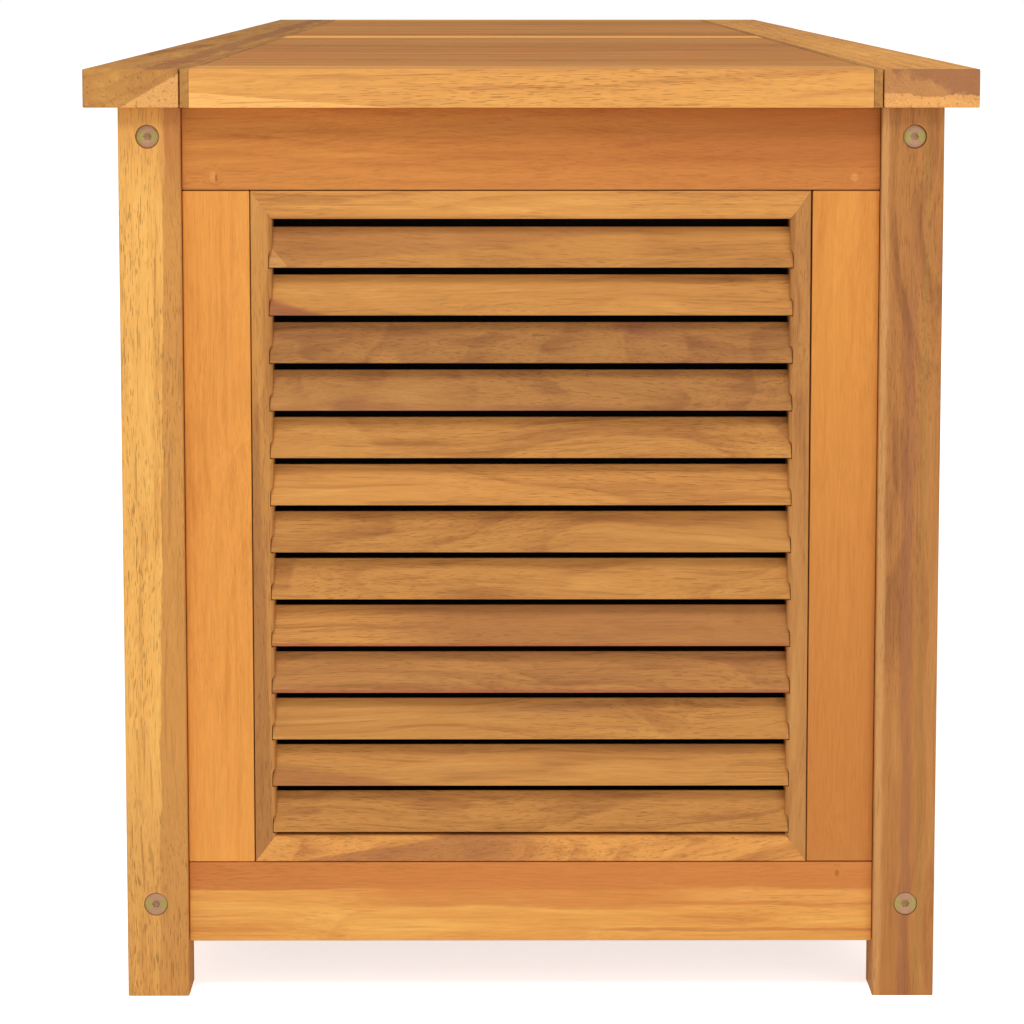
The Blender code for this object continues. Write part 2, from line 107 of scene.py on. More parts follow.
# Hardware
COUNTERBORE_RADIUS = 0.0067
COUNTERBORE_ROUND = 0.0002
BOLT_HEAD_RADIUS = 0.0066
BOLT_HEAD_THICKNESS = 0.0028
BOLT_RADIUS = 0.003
BOLT_CLEARANCE = 0.0004
BORE_DEPTH = 0.05
SOCKET_APOTHEM = 0.0020
SOCKET_DEPTH = 0.0018
NUT_RADIUS = 0.005
LEAF_THICKNESS = 0.0014
SCREW_HEAD_RADIUS = 0.0027
SCREW_LENGTH = 0.012
SCREW_INSET = 0.006
SCREW_SPREAD = 0.020

# Light and view
KEY_POWER = 52
FILL_POWER = 20
TOP_POWER = 16
AMBIENT = 0.46
FLOOR_GLOW = 0.20
FLOOR_SEEN_GLOW = 0.70
CAMERA_PLACE = (-0.0164, -2.8233, 0.5898)
CAMERA_PITCH = math.radians(6.436)
CAMERA_YAW = math.radians(0.165)
CAMERA_LENS = 122.77
CAMERA_SHIFT = -0.15


def srgb(red, green, blue):
    """A linear colour from 0-255 screen values."""
    return tuple(
        (v / 255 / 12.92 if v <= 10 else ((v / 255 + 0.055) / 1.055) ** 2.4) for v in (red, green, blue)
    ) + (1.0,)


# Materials


class Graph:
    """Short calls that add nodes to a material and return their outputs."""

    def __init__(self, name):
        self.material = bpy.data.materials.new(name)
        self.material.use_nodes = True
        self.tree = self.material.node_tree
        self.shader = self.tree.nodes["Principled BSDF"]

    def add(self, kind, values, output=0, **settings):
        node = self.tree.nodes.new(kind)
        for key, value in settings.items():
            setattr(node, key, value)
        for key, value in values.items():
            self.feed(node.inputs[key], value)
        return node.outputs[output]

    def feed(self, socket, value):
        if isinstance(value, bpy.types.NodeSocket):
            self.tree.links.new(value, socket)
        else:
            socket.default_value = value

    def math(self, operation, first, second=0.0):
        return self.add("ShaderNodeMath", {0: first, 1: second}, operation=operation)

    def mix(self, amount, first, second, blend="MIX"):
        """Two colours mixed; the colour sockets of the Mix node are 6 and 7, and its output is 2."""
        values = {0: amount, 6: first, 7: second}
        return self.add("ShaderNodeMix", values, 2, data_type="RGBA", blend_type=blend)

    def ramp(self, value, low, high, to_low=0.0, to_high=1.0):
        """A smooth step from to_low to to_high while value goes from low to high."""
        values = {0: value, 1: low, 2: high, 3: to_low, 4: to_high}
        return self.add("ShaderNodeMapRange", values, interpolation_type="SMOOTHSTEP")

    def noise(self, vector, stretch, detail=2.0, roughness=0.5):
        """Noise whose cells measure 1 / stretch along each axis."""
        scaled = self.add("ShaderNodeVectorMath", {0: vector, 1: stretch}, operation="MULTIPLY")
        values = {"Vector": scaled, "Scale": 1.0, "Detail": detail, "Roughness": roughness}
        return self.add("ShaderNodeTexNoise", values)

    def bump(self, height, strength, distance):
        values = {"Height": height, "Strength": strength, "Distance": distance}
        return self.add("ShaderNodeBump", values)

    def finish(self, **sockets):
        for name, value in sockets.items():
            self.feed(self.shader.inputs[name.replace("_", " ")], value)
        return self.material


# Turns that bring the grain, which runs along one axis of the box, onto the texture's X axis.
GRAIN_TURN = {"X": (0, 0, 0), "Y": (0, 0, -math.pi / 2), "Z": (0, math.pi / 2, 0)}

# Each wood: its light, middle and dark tones, and how strong its rings and pores are.
WOODS = {
    "honey": dict(light=(246, 190, 102), mid=(236, 176, 93), dark=(204, 142, 72), rings=0.35, pores=0.95),
    "brown": dict(light=(196, 138, 77), mid=(181, 121, 66), dark=(148, 94, 55), rings=0.6, pores=0.4),
    "red": dict(light=(212, 140, 68), mid=(199, 127, 61), dark=(174, 102, 50), rings=0.4, pores=0.25),
    "straw": dict(light=(240, 180, 94), mid=(226, 158, 80), dark=(200, 126, 62), rings=0.35, pores=0.35),
    "orange": dict(light=(236, 163, 81), mid=(228, 153, 73), dark=(208, 132, 60), rings=0.3, pores=0.15),
    "amber": dict(light=(222, 150, 72), mid=(214, 141, 66), dark=(190, 116, 54), rings=0.3, pores=0.15),
    "tan": dict(light=(228, 166, 89), mid=(213, 148, 77), dark=(178, 116, 62), rings=0.55, pores=0.5),
    "grey": dict(light=(196, 140, 79), mid=(184, 127, 70), dark=(156, 102, 59), rings=0.5, pores=0.45),
    "lid": dict(light=(240, 176, 96), mid=(224, 159, 86), dark=(196, 132, 76), rings=0.5, pores=0.7),
}
HEART = (152, 96, 66)
KNOT = (150, 92, 44)
KNOT_HALO = (226, 154, 86)


def shade(colour, factor):
    return srgb(*[min(255, channel * factor) for channel in colour])


def wood(name, kind, along, tone=1.0, slope=0.0, heart=0.0, gloss=0.1, bands=(), knots=()):
    """Oiled wood. along is the grain's axis and slope its slant. heart is how much of the piece is
    dark heartwood streaks. bands and knots are placed features, in the frame's own coordinates."""
    look = WOODS[kind]
    draw = random.Random(name)
    graph = Graph(name)
    place = graph.add("ShaderNodeTexCoord", {}, "Object")
    shift = [draw.uniform(-3, 3) for _ in range(3)]
    turned = graph.add("ShaderNodeMapping", {"Vector": place, "Rotation": GRAIN_TURN[along]})
    slant = (0, slope * 0.6, slope)
    grain = graph.add("ShaderNodeMapping", {"Vector": turned, "Location": shift, "Rotation": slant})

    # The grain wanders slowly, in metres across it, and bends around knots.
    wander = graph.math("MULTIPLY", graph.math("SUBTRACT", graph.noise(grain, (4, 14, 14)), 0.5), 0.035)
    reaches = []
    for knot in knots:
        reach = knot_reach(graph, place, knot)
        reaches.append(reach)
        wander = graph.math("ADD", wander, graph.ramp(reach, 0.0, 3.5, 0.003, 0.0))
    offset = graph.add("ShaderNodeCombineXYZ", {"Y": wander, "Z": graph.math("MULTIPLY", wander, 0.6)})
    flow = graph.add("ShaderNodeVectorMath", {0: grain, 1: offset})

    # Growth rings around a pith that lies off the piece.
    spread = graph.add("ShaderNodeVectorMath", {0: flow, 1: (0.02, 1, 1)}, operation="MULTIPLY")
    pith = (shift[0] * 0.02, shift[1] + draw.uniform(0.03, 0.08), shift[2] + draw.uniform(0.02, 0.05))
    radius = graph.add("ShaderNodeVectorMath", {0: spread, 1: pith}, "Value", operation="DISTANCE")
    turns = graph.math("FRACT", graph.math("DIVIDE", radius, draw.uniform(0.004, 0.0065)))
    ring = graph.math("MULTIPLY", graph.ramp(turns, 0.35, 0.9), graph.ramp(turns, 0.92, 1.0, 1.0, 0.0))

    streaks = graph.noise(flow, (7, 170, 170), 6.0, 0.65)
    fibres = graph.noise(flow, (45, 1100, 1100), 3.0, 0.65)
    patches = graph.noise(flow, (3.5, 24, 24), 3.0, 0.55)
    pores = graph.ramp(graph.noise(flow, (110, 1900, 1900), 1.0, 0.4), 0.58, 0.68)
    pores = graph.math("MULTIPLY", pores, graph.ramp(patches, 0.38, 0.60, 0.2, 1.0))

    darker = graph.math("ADD", graph.math("MULTIPLY", streaks, 0.8), graph.math("MULTIPLY", patches, 0.55))
    darker = graph.math("ADD", darker, graph.math("MULTIPLY", ring, look["rings"] * 0.25))
    colour = graph.mix(graph.ramp(darker, 0.42, 0.70), shade(look["light"], tone), shade(look["mid"], tone))
    colour = graph.mix(graph.ramp(darker, 0.68, 1.02), colour, shade(look["dark"], tone))
    if heart:
        veins = graph.noise(flow, (2.2, 36, 36), 3.0, 0.55)
        veins = graph.ramp(veins, 0.64 - 0.16 * heart, 0.74 - 0.10 * heart)
        colour = graph.mix(graph.math("MULTIPLY", veins, 0.6), colour, shade(HEART, tone))
    for band in bands:
        colour = add_band(graph, place, flow, colour, **band)
    for knot, reach in zip(knots, reaches):
        colour = graph.mix(graph.ramp(reach, 0.6, 1.3, knot["amount"], 0.0), colour, srgb(*knot["shade_to"]))

    lines = graph.ramp(graph.noise(flow, (9, 520, 520), 1.0, 0.4), 0.62, 0.72)
    line_mask = graph.math("MULTIPLY", lines, look["pores"] * 0.7)
    colour = graph.mix(line_mask, colour, shade(look["dark"], 0.9 * tone))
    fibre_tone = graph.add("ShaderNodeMapRange", {0: fibres, 1: 0.25, 2: 0.75, 3: 0.90, 4: 1.08})
    tint = graph.add("ShaderNodeCombineXYZ", {"X": fibre_tone, "Y": fibre_tone, "Z": fibre_tone})
    colour = graph.mix(1.0, colour, tint, "MULTIPLY")
    pore_mask = graph.math("MULTIPLY", pores, look["pores"] * 0.8)
    colour = graph.mix(pore_mask, colour, shade(look["dark"], 0.74 * tone))

    rough = graph.add("ShaderNodeMapRange", {0: streaks, 1: 0.3, 2: 0.7, 3: 0.58, 4: 0.70})
    rough = graph.math("ADD", rough, graph.math("MULTIPLY", pores, 0.15))
    height = graph.math("SUBTRACT", graph.math("MULTIPLY", fibres, 0.6), graph.math("MULTIPLY", pores, 0.8))
    height = graph.math("ADD", height, graph.math("MULTIPLY", streaks, 0.8))
    normal = graph.bump(height, 0.4, 0.0004)
    return graph.finish(Base_Color=colour, Roughness=rough, Normal=normal, Specular_IOR_Level=gloss)


def knot_reach(graph, place, knot):
    """How far a point is from a knot's middle, where 1 is on the knot's edge."""
    scale = Vector([1 / half for half in knot["half"]])
    scaled = graph.add("ShaderNodeVectorMath", {0: place, 1: scale}, operation="MULTIPLY")
    middle = Vector(knot["at"]) * scale
    return graph.add("ShaderNodeVectorMath", {0: scaled, 1: middle}, "Value", operation="DISTANCE")


def add_band(graph, place, flow, colour, across, at, shade_to, soft=0.001, wavy=0.004, cell=0.008,
             until=None, amount=0.8, within=None):
    """Another colour on one side of a ragged line, or between two of them. A point is past the line
    where its dot product with across is more than at. wavy is how far the line strays, in waves as
    long as cell across the grain. within is a second, straight limit to the colour."""
    stretch = (0.13 / cell, 1 / cell, 1 / cell)
    ragged = graph.math("SUBTRACT", graph.noise(flow, stretch, 4.0, 0.6), 0.5)

    def dot(vector):
        values = {0: place, 1: vector}
        return graph.add("ShaderNodeVectorMath", values, "Value", operation="DOT_PRODUCT")

    reach = graph.math("ADD", dot(across), graph.math("MULTIPLY", ragged, wavy * 2))
    mask = graph.ramp(reach, at - soft / 2, at + soft / 2)
    if until is not None:
        mask = graph.math("MULTIPLY", mask, graph.ramp(reach, until - soft / 2, until + soft / 2, 1.0, 0.0))
    if within:
        vector, start, width = within
        mask = graph.math("MULTIPLY", mask, graph.ramp(dot(vector), start - width / 2, start + width / 2))
    return graph.mix(graph.math("MULTIPLY", mask, amount), colour, srgb(*shade_to))


def yellow_zinc(name, centre):
    """Yellow-passivated zinc. The film's olive and pink are its own colours. Their fixed arrangement by
    direction from the head's middle, olive at the sides and pink above and below, is a painted reflection of
    the turned head.
    """
    graph = Graph(name)
    place = graph.add("ShaderNodeTexCoord", {}, "Object")
    # Painted reflection: the film's colour is set by direction from the head's middle, as the turned head
    # would reflect the light.
    away = graph.add("ShaderNodeVectorMath", {0: place, 1: centre}, operation="SUBTRACT")
    across = graph.add("ShaderNodeSeparateXYZ", {"Vector": away}, "X")
    upward = graph.add("ShaderNodeSeparateXYZ", {"Vector": away}, "Z")
    across = graph.math("MULTIPLY", across, across)
    upward = graph.math("MULTIPLY", upward, upward)
    share = graph.math("DIVIDE", across, graph.math("ADD", graph.math("ADD", across, upward), 0.0000004))
    film = graph.noise(place, (420, 420, 420), 3.0, 0.6)
    share = graph.math("ADD", share, graph.math("MULTIPLY", graph.math("SUBTRACT", film, 0.5), 0.5))
    colour = graph.mix(graph.ramp(share, 0.35, 0.85), srgb(184, 140, 106), srgb(172, 152, 82))
    specks = graph.noise(place, (2400, 2400, 2400), 2.0)
    colour = graph.mix(graph.ramp(specks, 0.50, 0.75, 0.0, 0.5), colour, srgb(126, 98, 70))
    rough = graph.add("ShaderNodeMapRange", {0: specks, 1: 0.3, 2: 0.7, 3: 0.42, 4: 0.58})
    normal = graph.bump(specks, 0.15, 0.0001)
    return graph.finish(Base_Color=colour, Roughness=rough, Normal=normal, Metallic=0.3)


def shade_black_paint(name):
    """Matt black paint on fibreboard, with a faint orange-peel texture. On the guessed backing board behind
    the slats, its black is painted shade that stands in for the dark inside of the box seen through the gaps.
    """
    graph = Graph(name)
    place = graph.add("ShaderNodeTexCoord", {}, "Object")
    dust = graph.noise(place, (60, 60, 60), 4.0, 0.6)
    peel = graph.noise(place, (1400, 1400, 1400), 2.0)
    colour = graph.mix(graph.ramp(dust, 0.35, 0.75), srgb(9, 8, 8), srgb(20, 18, 17))
    rough = graph.add("ShaderNodeMapRange", {0: dust, 1: 0.3, 2: 0.7, 3: 0.75, 4: 0.92})
    return graph.finish(Base_Color=colour, Roughness=rough, Normal=graph.bump(peel, 0.3, 0.0001),
                        Specular_IOR_Level=0.1)


def satin_steel(name):
    """Satin zinc-plated steel with fine rolling marks along the hinge."""
    graph = Graph(name)
    place = graph.add("ShaderNodeTexCoord", {}, "Object")
    marks = graph.noise(place, (2600, 90, 2600), 3.0, 0.6)
    stains = graph.noise(place, (60, 60, 60), 3.0, 0.5)
    colour = graph.mix(graph.ramp(stains, 0.35, 0.7), srgb(206, 204, 198), srgb(176, 172, 164))
    colour = graph.mix(graph.ramp(marks, 0.5, 0.8, 0.0, 0.4), colour, srgb(150, 147, 140))
    rough = graph.add("ShaderNodeMapRange", {0: marks, 1: 0.3, 2: 0.7, 3: 0.30, 4: 0.48})
    normal = graph.bump(marks, 0.2, 0.0001)
    return graph.finish(Base_Color=colour, Roughness=rough, Normal=normal, Metallic=1.0)


# Shapes


def finish_mesh(bm, name):
    bmesh.ops.recalc_face_normals(bm, faces=bm.faces)
    mesh = bpy.data.meshes.new(name)
    bm.to_mesh(mesh)
    bm.free()
    mesh.shade_smooth()
    return mesh


def round_edges(obj, width, segments=ROUND_SEGMENTS):
    bevel = obj.modifiers.new("Round edges", "BEVEL")
    bevel.width = width
    bevel.segments = segments
    bevel.limit_method = "ANGLE"
    bevel.angle_limit = BEVEL_ABOVE
    bevel.harden_normals = True
    bevel.use_clamp_overlap = True


def place_piece(name, mesh, material, body):
    obj = bpy.data.objects.new(name, mesh)
    bpy.context.scene.collection.objects.link(obj)
    mesh.materials.append(material)
    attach(obj, body)
    return obj


def add_box(bm, low, high):
    low, high = Vector(low), Vector(high)
    place = Matrix.Translation((low + high) / 2) @ Matrix.Diagonal((*(high - low), 1))
    bmesh.ops.create_cube(bm, size=1.0, matrix=place)


def board(name, low, high, material, body, edge=BOARD_EDGE):
    """A board with rounded edges."""
    bm = bmesh.new()
    add_box(bm, low, high)
    obj = place_piece(name, finish_mesh(bm, name), material, body)
    round_edges(obj, edge)
    return obj


def lathe(bm, rings, centre, axis, sides=48, polygons=None):
    """Rings of (radius, height) around an axis. polygons gives some ring numbers that many corners."""
    turn = Vector((0, 0, 1)).rotation_difference(Vector(axis)).to_matrix()
    loops = []
    for number, (radius, height) in enumerate(rings):
        corners = (polygons or {}).get(number)
        loop = []
        for i in range(sides):
            angle = TAU * i / sides
            reach = radius
            if corners:
                reach = radius / math.cos((angle % (TAU / corners)) - TAU / corners / 2)
            point = Vector((reach * math.cos(angle), reach * math.sin(angle), height))
            loop.append(bm.verts.new(turn @ point + Vector(centre)))
        loops.append(loop)
    for inner, outer in zip(loops, loops[1:]):
        for i in range(sides):
            j = (i + 1) % sides
            bm.faces.new((inner[i], inner[j], outer[j], outer[i]))
    bm.faces.new(loops[0])
    bm.faces.new(loops[-1])


def cut_from(mesh, cutters):
    """A mesh with the cutters' shapes cut out of it."""
    blank = bpy.data.objects.new("blank", mesh)
    bpy.context.scene.collection.objects.link(blank)
    for bm in cutters:
        cutter = bpy.data.objects.new("cutter", finish_mesh(bm, "cutter"))
        bpy.context.scene.collection.objects.link(cutter)
        cut = blank.modifiers.new("Cut", "BOOLEAN")
        cut.operation = "DIFFERENCE"
        cut.object = cutter
    bpy.context.view_layer.update()
    result = bpy.data.meshes.new_from_object(blank.evaluated_get(bpy.context.evaluated_depsgraph_get()))
    for cut in blank.modifiers:
        bpy.data.objects.remove(cut.object)
    bpy.data.objects.remove(blank)
    result.shade_smooth()
    result.set_sharp_from_angle(angle=SHARP_ABOVE)
    return result


def face_normals(obj):
    """Shades flat faces flat up to the rounded edges beside them."""
    weigh = obj.modifiers.new("Face normals", "WEIGHTED_NORMAL")
    weigh.keep_sharp = True


# CAD nodes that keep their shape


def dress(node, material, edge=0.0):
    """Puts a material on a CAD node and rounds its edges."""
    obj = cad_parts[node]
    for index in range(len(obj.data.materials)):
        obj.data.materials[index] = material
    if edge:
        weld = obj.modifiers.new("Join corners", "WELD")
        weld.merge_threshold = 0.00001
        flat = obj.modifiers.new("Join flat faces", "DECIMATE")
        flat.decimate_type = "DISSOLVE"
        flat.angle_limit = math.radians(1)
        round_edges(obj, edge)
        obj.data.shade_smooth()


# Placed colours of single pieces, in the frame's coordinates: streaks, bands and knots of their wood, some
# broad gradients in tone, and a painted highlight on the lid's right end rail. A knot's half is its half
# size.

FEATURES = {
    "post_front_right": dict(
        kind="honey",
        bands=(
            dict(across=(1, 0, -0.016), at=-0.2135, shade_to=(196, 134, 70), wavy=0.003, cell=0.004,
                 amount=0.8),
            # Darker towards the top, just below the lid, and darker still on the post's inner side there.
            dict(across=(0, 0, 1), at=0.482, shade_to=(206, 138, 72), soft=0.05, amount=0.55),
            dict(across=(1, 0, 0), at=-0.2072, shade_to=(176, 110, 62), soft=0.004, amount=0.65,
                 within=((0, 0, 1), 0.470, 0.05)),
            # Darker towards the foot.
            dict(across=(0, 0, -1), at=-0.120, shade_to=(200, 142, 78), soft=0.10, amount=0.5),
        ),
    ),
    "post_rear_right": dict(
        kind="brown",
        bands=(
            dict(across=(-1, 0, 0), at=-0.2010, shade_to=(208, 152, 92), soft=0.003, wavy=0.002, amount=0.7),
            dict(across=(1, 0, 0), at=0.2110, until=0.2170, shade_to=(154, 98, 68), soft=0.003, wavy=0.004,
                 amount=0.5, within=((0, 0, -1), -0.42, 0.1)),
            dict(across=(1, 0, 0), at=0.2205, until=0.2235, shade_to=(170, 124, 66), soft=0.002, amount=0.5),
        ),
    ),
    "right_end_top_rail": dict(
        bands=(
            dict(across=(1, 0, 0), at=0.02, shade_to=(180, 106, 53), soft=0.35, amount=0.85),
            dict(across=(0, 0, -1), at=-0.478, shade_to=(212, 138, 70), soft=0.012, wavy=0.004, amount=0.5),
        ),
        knots=(
            dict(at=(-0.1787, -0.862, 0.4712), half=(0.0020, 0.004, 0.0032), shade_to=KNOT_HALO, amount=0.6),
            dict(at=(-0.1769, -0.862, 0.4708), half=(0.0007, 0.004, 0.0024), shade_to=KNOT, amount=0.7),
            dict(at=(0.1818, -0.862, 0.4707), half=(0.0022, 0.004, 0.0024), shade_to=KNOT_HALO, amount=0.55),
        ),
    ),
    "right_end_bottom_rail": dict(
        bands=(
            dict(across=(0, 0, 1), at=0.0612, shade_to=(200, 121, 62), wavy=0.0025, amount=0.85),
            dict(across=(0, 0, 1), at=0.0515, until=0.0625, shade_to=(208, 132, 68), soft=0.003, wavy=0.005,
                 amount=0.8, within=((1, 0, 0), -0.10, 0.06)),
            dict(across=(0, 0, 1), at=0.0545, until=0.0615, shade_to=(236, 170, 90), soft=0.003, wavy=0.004,
                 amount=0.6, within=((1, 0, 0), 0.09, 0.06)),
            dict(across=(0, 0, -1), at=-0.0385, until=-0.0365, shade_to=(188, 112, 58), wavy=0.003,
                 amount=0.6, within=((1, 0, 0), 0.04, 0.04)),
        ),
        knots=(dict(at=(0.176, -0.862, 0.0708), half=(0.0013, 0.004, 0.0022), shade_to=KNOT, amount=0.6),),
    ),
    "right_end_stile_2": dict(
        # Darker towards the bottom.
        bands=(dict(across=(0, 0, -1), at=-0.27, shade_to=(194, 123, 61), soft=0.30, amount=0.85),),
    ),
    "right_end_louver_panel_left_moulding": dict(
        kind="tan", tone=0.93,
        bands=(
            dict(across=(0, 0, -1), at=-0.27, shade_to=(196, 136, 76), soft=0.2, amount=0.6),
            dict(across=(-1, 0, -0.03), at=0.1447, shade_to=(164, 110, 62), soft=0.002, wavy=0.002,
                 amount=0.7, within=((0, 0, -1), -0.34, 0.05)),
        ),
    ),
    "right_end_louver_panel_bottom_moulding": dict(
        kind="tan", tone=1.05, slope=0.16,
        bands=(
            dict(across=(0.184, 0, -1), at=-0.1018, shade_to=(172, 112, 68), soft=0.002, wavy=0.002,
                 amount=0.75, within=((-1, 0, 0), 0.0, 0.05)),
        ),
    ),
    "right_end_louver_panel_slat_1": dict(
        kind="tan", tone=0.91, slope=0.03,
        bands=(
            dict(across=(-0.10, 0, 1), at=0.4340, shade_to=(170, 112, 66), soft=0.003, wavy=0.003,
                 amount=0.5),
            dict(across=(-1.05, 0, -1), at=-0.2767, shade_to=(206, 150, 88), wavy=0.001, amount=0.7),
        ),
    ),
    "right_end_louver_panel_slat_2": dict(
        kind="tan", tone=0.94,
        bands=(dict(across=(-0.30, 0, -1), at=-0.3578, shade_to=(156, 92, 62), soft=0.003, wavy=0.002),),
    ),
    "right_end_louver_panel_slat_3": dict(
        kind="grey", tone=0.95, slope=0.08,
        knots=(
            dict(at=(-0.083, -0.862, 0.3672), half=(0.008, 0.01, 0.007), shade_to=(206, 142, 76), amount=0.4),
        ),
    ),
    "right_end_louver_panel_slat_4": dict(kind="grey", tone=0.98, heart=0.5, slope=-0.1),
    "right_end_louver_panel_slat_5": dict(kind="tan", tone=0.93, slope=0.04, heart=0),
    "right_end_louver_panel_slat_6": dict(kind="tan", tone=0.975),
    "right_end_louver_panel_slat_7": dict(kind="tan", tone=0.91, slope=-0.03),
    "right_end_louver_panel_slat_8": dict(kind="tan", tone=0.93),
    "right_end_louver_panel_slat_9": dict(
        kind="tan", tone=0.97,
        bands=(
            dict(across=(1, 0, 0.5), at=0.03, shade_to=(166, 110, 65), soft=0.08, wavy=0.01, amount=0.75),
            # A darker reddish strip along the slat's lower edge.
            dict(across=(0, 0, -1), at=-0.2050, shade_to=(176, 102, 62), soft=0.0006, wavy=0.0005),
        ),
    ),
    "right_end_louver_panel_slat_10": dict(
        kind="grey", tone=1.02,
        # A darker reddish strip along the slat's lower edge.
        bands=(dict(across=(0, 0, -1), at=-0.1779, shade_to=(170, 98, 62), soft=0.0006, wavy=0.0005),),
    ),
    "right_end_louver_panel_slat_11": dict(kind="tan", tone=0.92, slope=0.03),
    "right_end_louver_panel_slat_12": dict(
        kind="tan", tone=0.93,
        bands=(dict(across=(-0.08, 0, -1), at=-0.1178, shade_to=(168, 106, 62), soft=0.003, amount=0.7),),
    ),
    "right_end_louver_panel_slat_13": dict(kind="tan", tone=0.92, slope=-0.04),
    "lid_front_rail": dict(
        tone=0.86, heart=0.3,
        bands=(
            dict(across=(1, 0, 0), at=-0.217, until=-0.203, shade_to=(160, 102, 64), soft=0.005, wavy=0.009,
                 amount=0.65, within=((0, 0, 1), 0.5315, 0.001)),
            dict(across=(0.5, 0, -0.87), at=-0.5588, shade_to=(236, 174, 104), soft=0.0012, wavy=0.001,
                 amount=0.8),
        ),
    ),
    "lid_middle_rail": dict(tone=1.15),
    "lid_rear_rail": dict(
        bands=(
            dict(across=(0, 0, 1), at=0.5160, shade_to=(186, 130, 82), soft=0.0008, wavy=0.006, cell=0.022,
                 amount=0.85, within=((0, -1, 0), 0.874, 0.0016)),
            dict(across=(0.35, 0, 1), at=0.6015, shade_to=(154, 102, 72), soft=0.004, wavy=0.010, cell=0.010,
                 amount=0.7, within=((0, -1, 0), 0.874, 0.0016)),
            dict(across=(0, 0, -1), at=-0.5168, shade_to=(240, 174, 104), soft=0.0008, wavy=0.006, cell=0.022,
                 amount=0.7, within=((0, -1, 0), 0.874, 0.0016)),
        ),
    ),
    "lid_right_end_rail": dict(
        heart=0.35, slope=0.02,
        bands=(
            # Painted highlight: a light line along the rail's lower edge.
            dict(across=(-0.0667, 0, -1), at=-0.5058, shade_to=(248, 184, 106), soft=0.0008, wavy=0.0016,
                 amount=0.9),
        ),
    ),
}


def named_wood(name, kind, along, **options):
    """The wood of a piece, with what FEATURES says of it."""
    options = {**options, **FEATURES.get(name, {})}
    kind = options.pop("kind", kind)
    return wood(name + "_wood", kind, along, **options)


# Posts and their bolts


def post(node, kind):
    """A corner post with rounded long edges and round counterbores for its bolts."""
    low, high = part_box(node)
    bm = bmesh.new()
    add_box(bm, low, high)
    upright = [e for e in bm.edges if abs(e.verts[0].co.z - e.verts[1].co.z) > 0.1]
    bmesh.ops.bevel(bm, geom=upright, offset=POST_EDGE, segments=4, profile=0.5, affect="EDGES")
    blank = finish_mesh(bm, node)

    cutter = bmesh.new()
    corner = node[len("post_"):]
    for level in ("bottom", "top"):
        bolt_low, bolt_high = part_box(f"bolt_{corner}_{level}")
        outward = -1 if bolt_low.y < 0 else 1
        face = bolt_low.y if outward < 0 else bolt_high.y
        seat = face - outward * (BOLT_HEAD_THICKNESS + HAIRLINE)
        middle = (bolt_low + bolt_high) / 2
        depth = abs((low.y if outward < 0 else high.y) - seat)
        bore = BOLT_RADIUS + BOLT_CLEARANCE
        radius = COUNTERBORE_RADIUS
        rings = [
            (bore, -BORE_DEPTH),
            (bore, 0.0),
            (radius, 0.0),
            (radius, depth - COUNTERBORE_ROUND),
            (radius + COUNTERBORE_ROUND * 0.3, depth - COUNTERBORE_ROUND * 0.3),
            (radius + COUNTERBORE_ROUND, depth),
            (radius + COUNTERBORE_ROUND, depth + 2 * CUT_OVERLAP),
        ]
        lathe(cutter, rings, (middle.x, seat, middle.z), (0, outward, 0))
    mesh = cut_from(blank, [cutter])
    obj = place_piece(node + "_solid", mesh, named_wood(node, kind, "Z"), "box")
    face_normals(obj)
    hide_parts(node)


def bolt(node):
    """A flat bolt head with a hexagon socket, its shank and the barrel nut on it."""
    low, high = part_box(node)
    outward = -1 if low.y < 0 else 1
    middle = (low + high) / 2
    face = low.y if outward < 0 else high.y
    far = high.y if outward < 0 else low.y
    nut_y = far + outward * NUT_RADIUS
    top = BOLT_HEAD_THICKNESS
    radius = BOLT_HEAD_RADIUS
    rings = [
        (SOCKET_APOTHEM * 0.25, top - SOCKET_DEPTH - 0.0003),
        (SOCKET_APOTHEM * 0.96, top - SOCKET_DEPTH),
        (SOCKET_APOTHEM, top - SOCKET_DEPTH + HAIRLINE),
        (SOCKET_APOTHEM, top - 0.0003),
        (SOCKET_APOTHEM * 1.28, top),
        (radius - 0.0006, top),
        (radius - 0.00025, top - 0.0001),
        (radius - 0.0001, top - 0.00025),
        (radius, top - 0.0006),
        (radius, 0.0003),
        (radius - 0.0003, 0.0),
        (BOLT_RADIUS + 0.0003, 0.0),
        (BOLT_RADIUS, -0.0003),
        (BOLT_RADIUS, -abs(nut_y - face) + top),
    ]
    bm = bmesh.new()
    seat = (middle.x, face - outward * top, middle.z)
    lathe(bm, rings, seat, (0, outward, 0), polygons={1: 6, 2: 6, 3: 6})
    half = (high.x - low.x) / 2
    nut = [(NUT_RADIUS - 0.0006, -half), (NUT_RADIUS, -half + 0.0006), (NUT_RADIUS, half - 0.0006),
           (NUT_RADIUS - 0.0006, half)]
    lathe(bm, nut, (middle.x, nut_y, middle.z), (1, 0, 0))
    name = node + "_turned"
    mesh = finish_mesh(bm, name)
    mesh.set_sharp_from_angle(angle=SHARP_ABOVE)
    obj = place_piece(name, mesh, yellow_zinc(name, (middle.x, face, middle.z)), "box")
    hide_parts(node)


# Louvre panels

WALL_TURNS = {"right_end": 0.0, "left_end": math.pi, "front": -math.pi / 2, "rear": math.pi / 2}


def moulding_profile(width):
    """(share of the width, depth) around a moulding: square outer edge, rounded inner edge."""
    ease = 0.0003
    points = [(0.0, MOULDING_DEPTH), (0.0, ease), (ease / width, 0.0)]
    steps = 8
    for i in range(steps + 1):
        angle = math.pi / 2 * i / steps
        inward = width - MOULDING_ROUND * (1 - math.sin(angle))
        depth = MOULDING_ROUND * (1 - math.cos(angle))
        points.append((inward / width, depth))
    points.append((1.0, MOULDING_DEPTH))
    return points


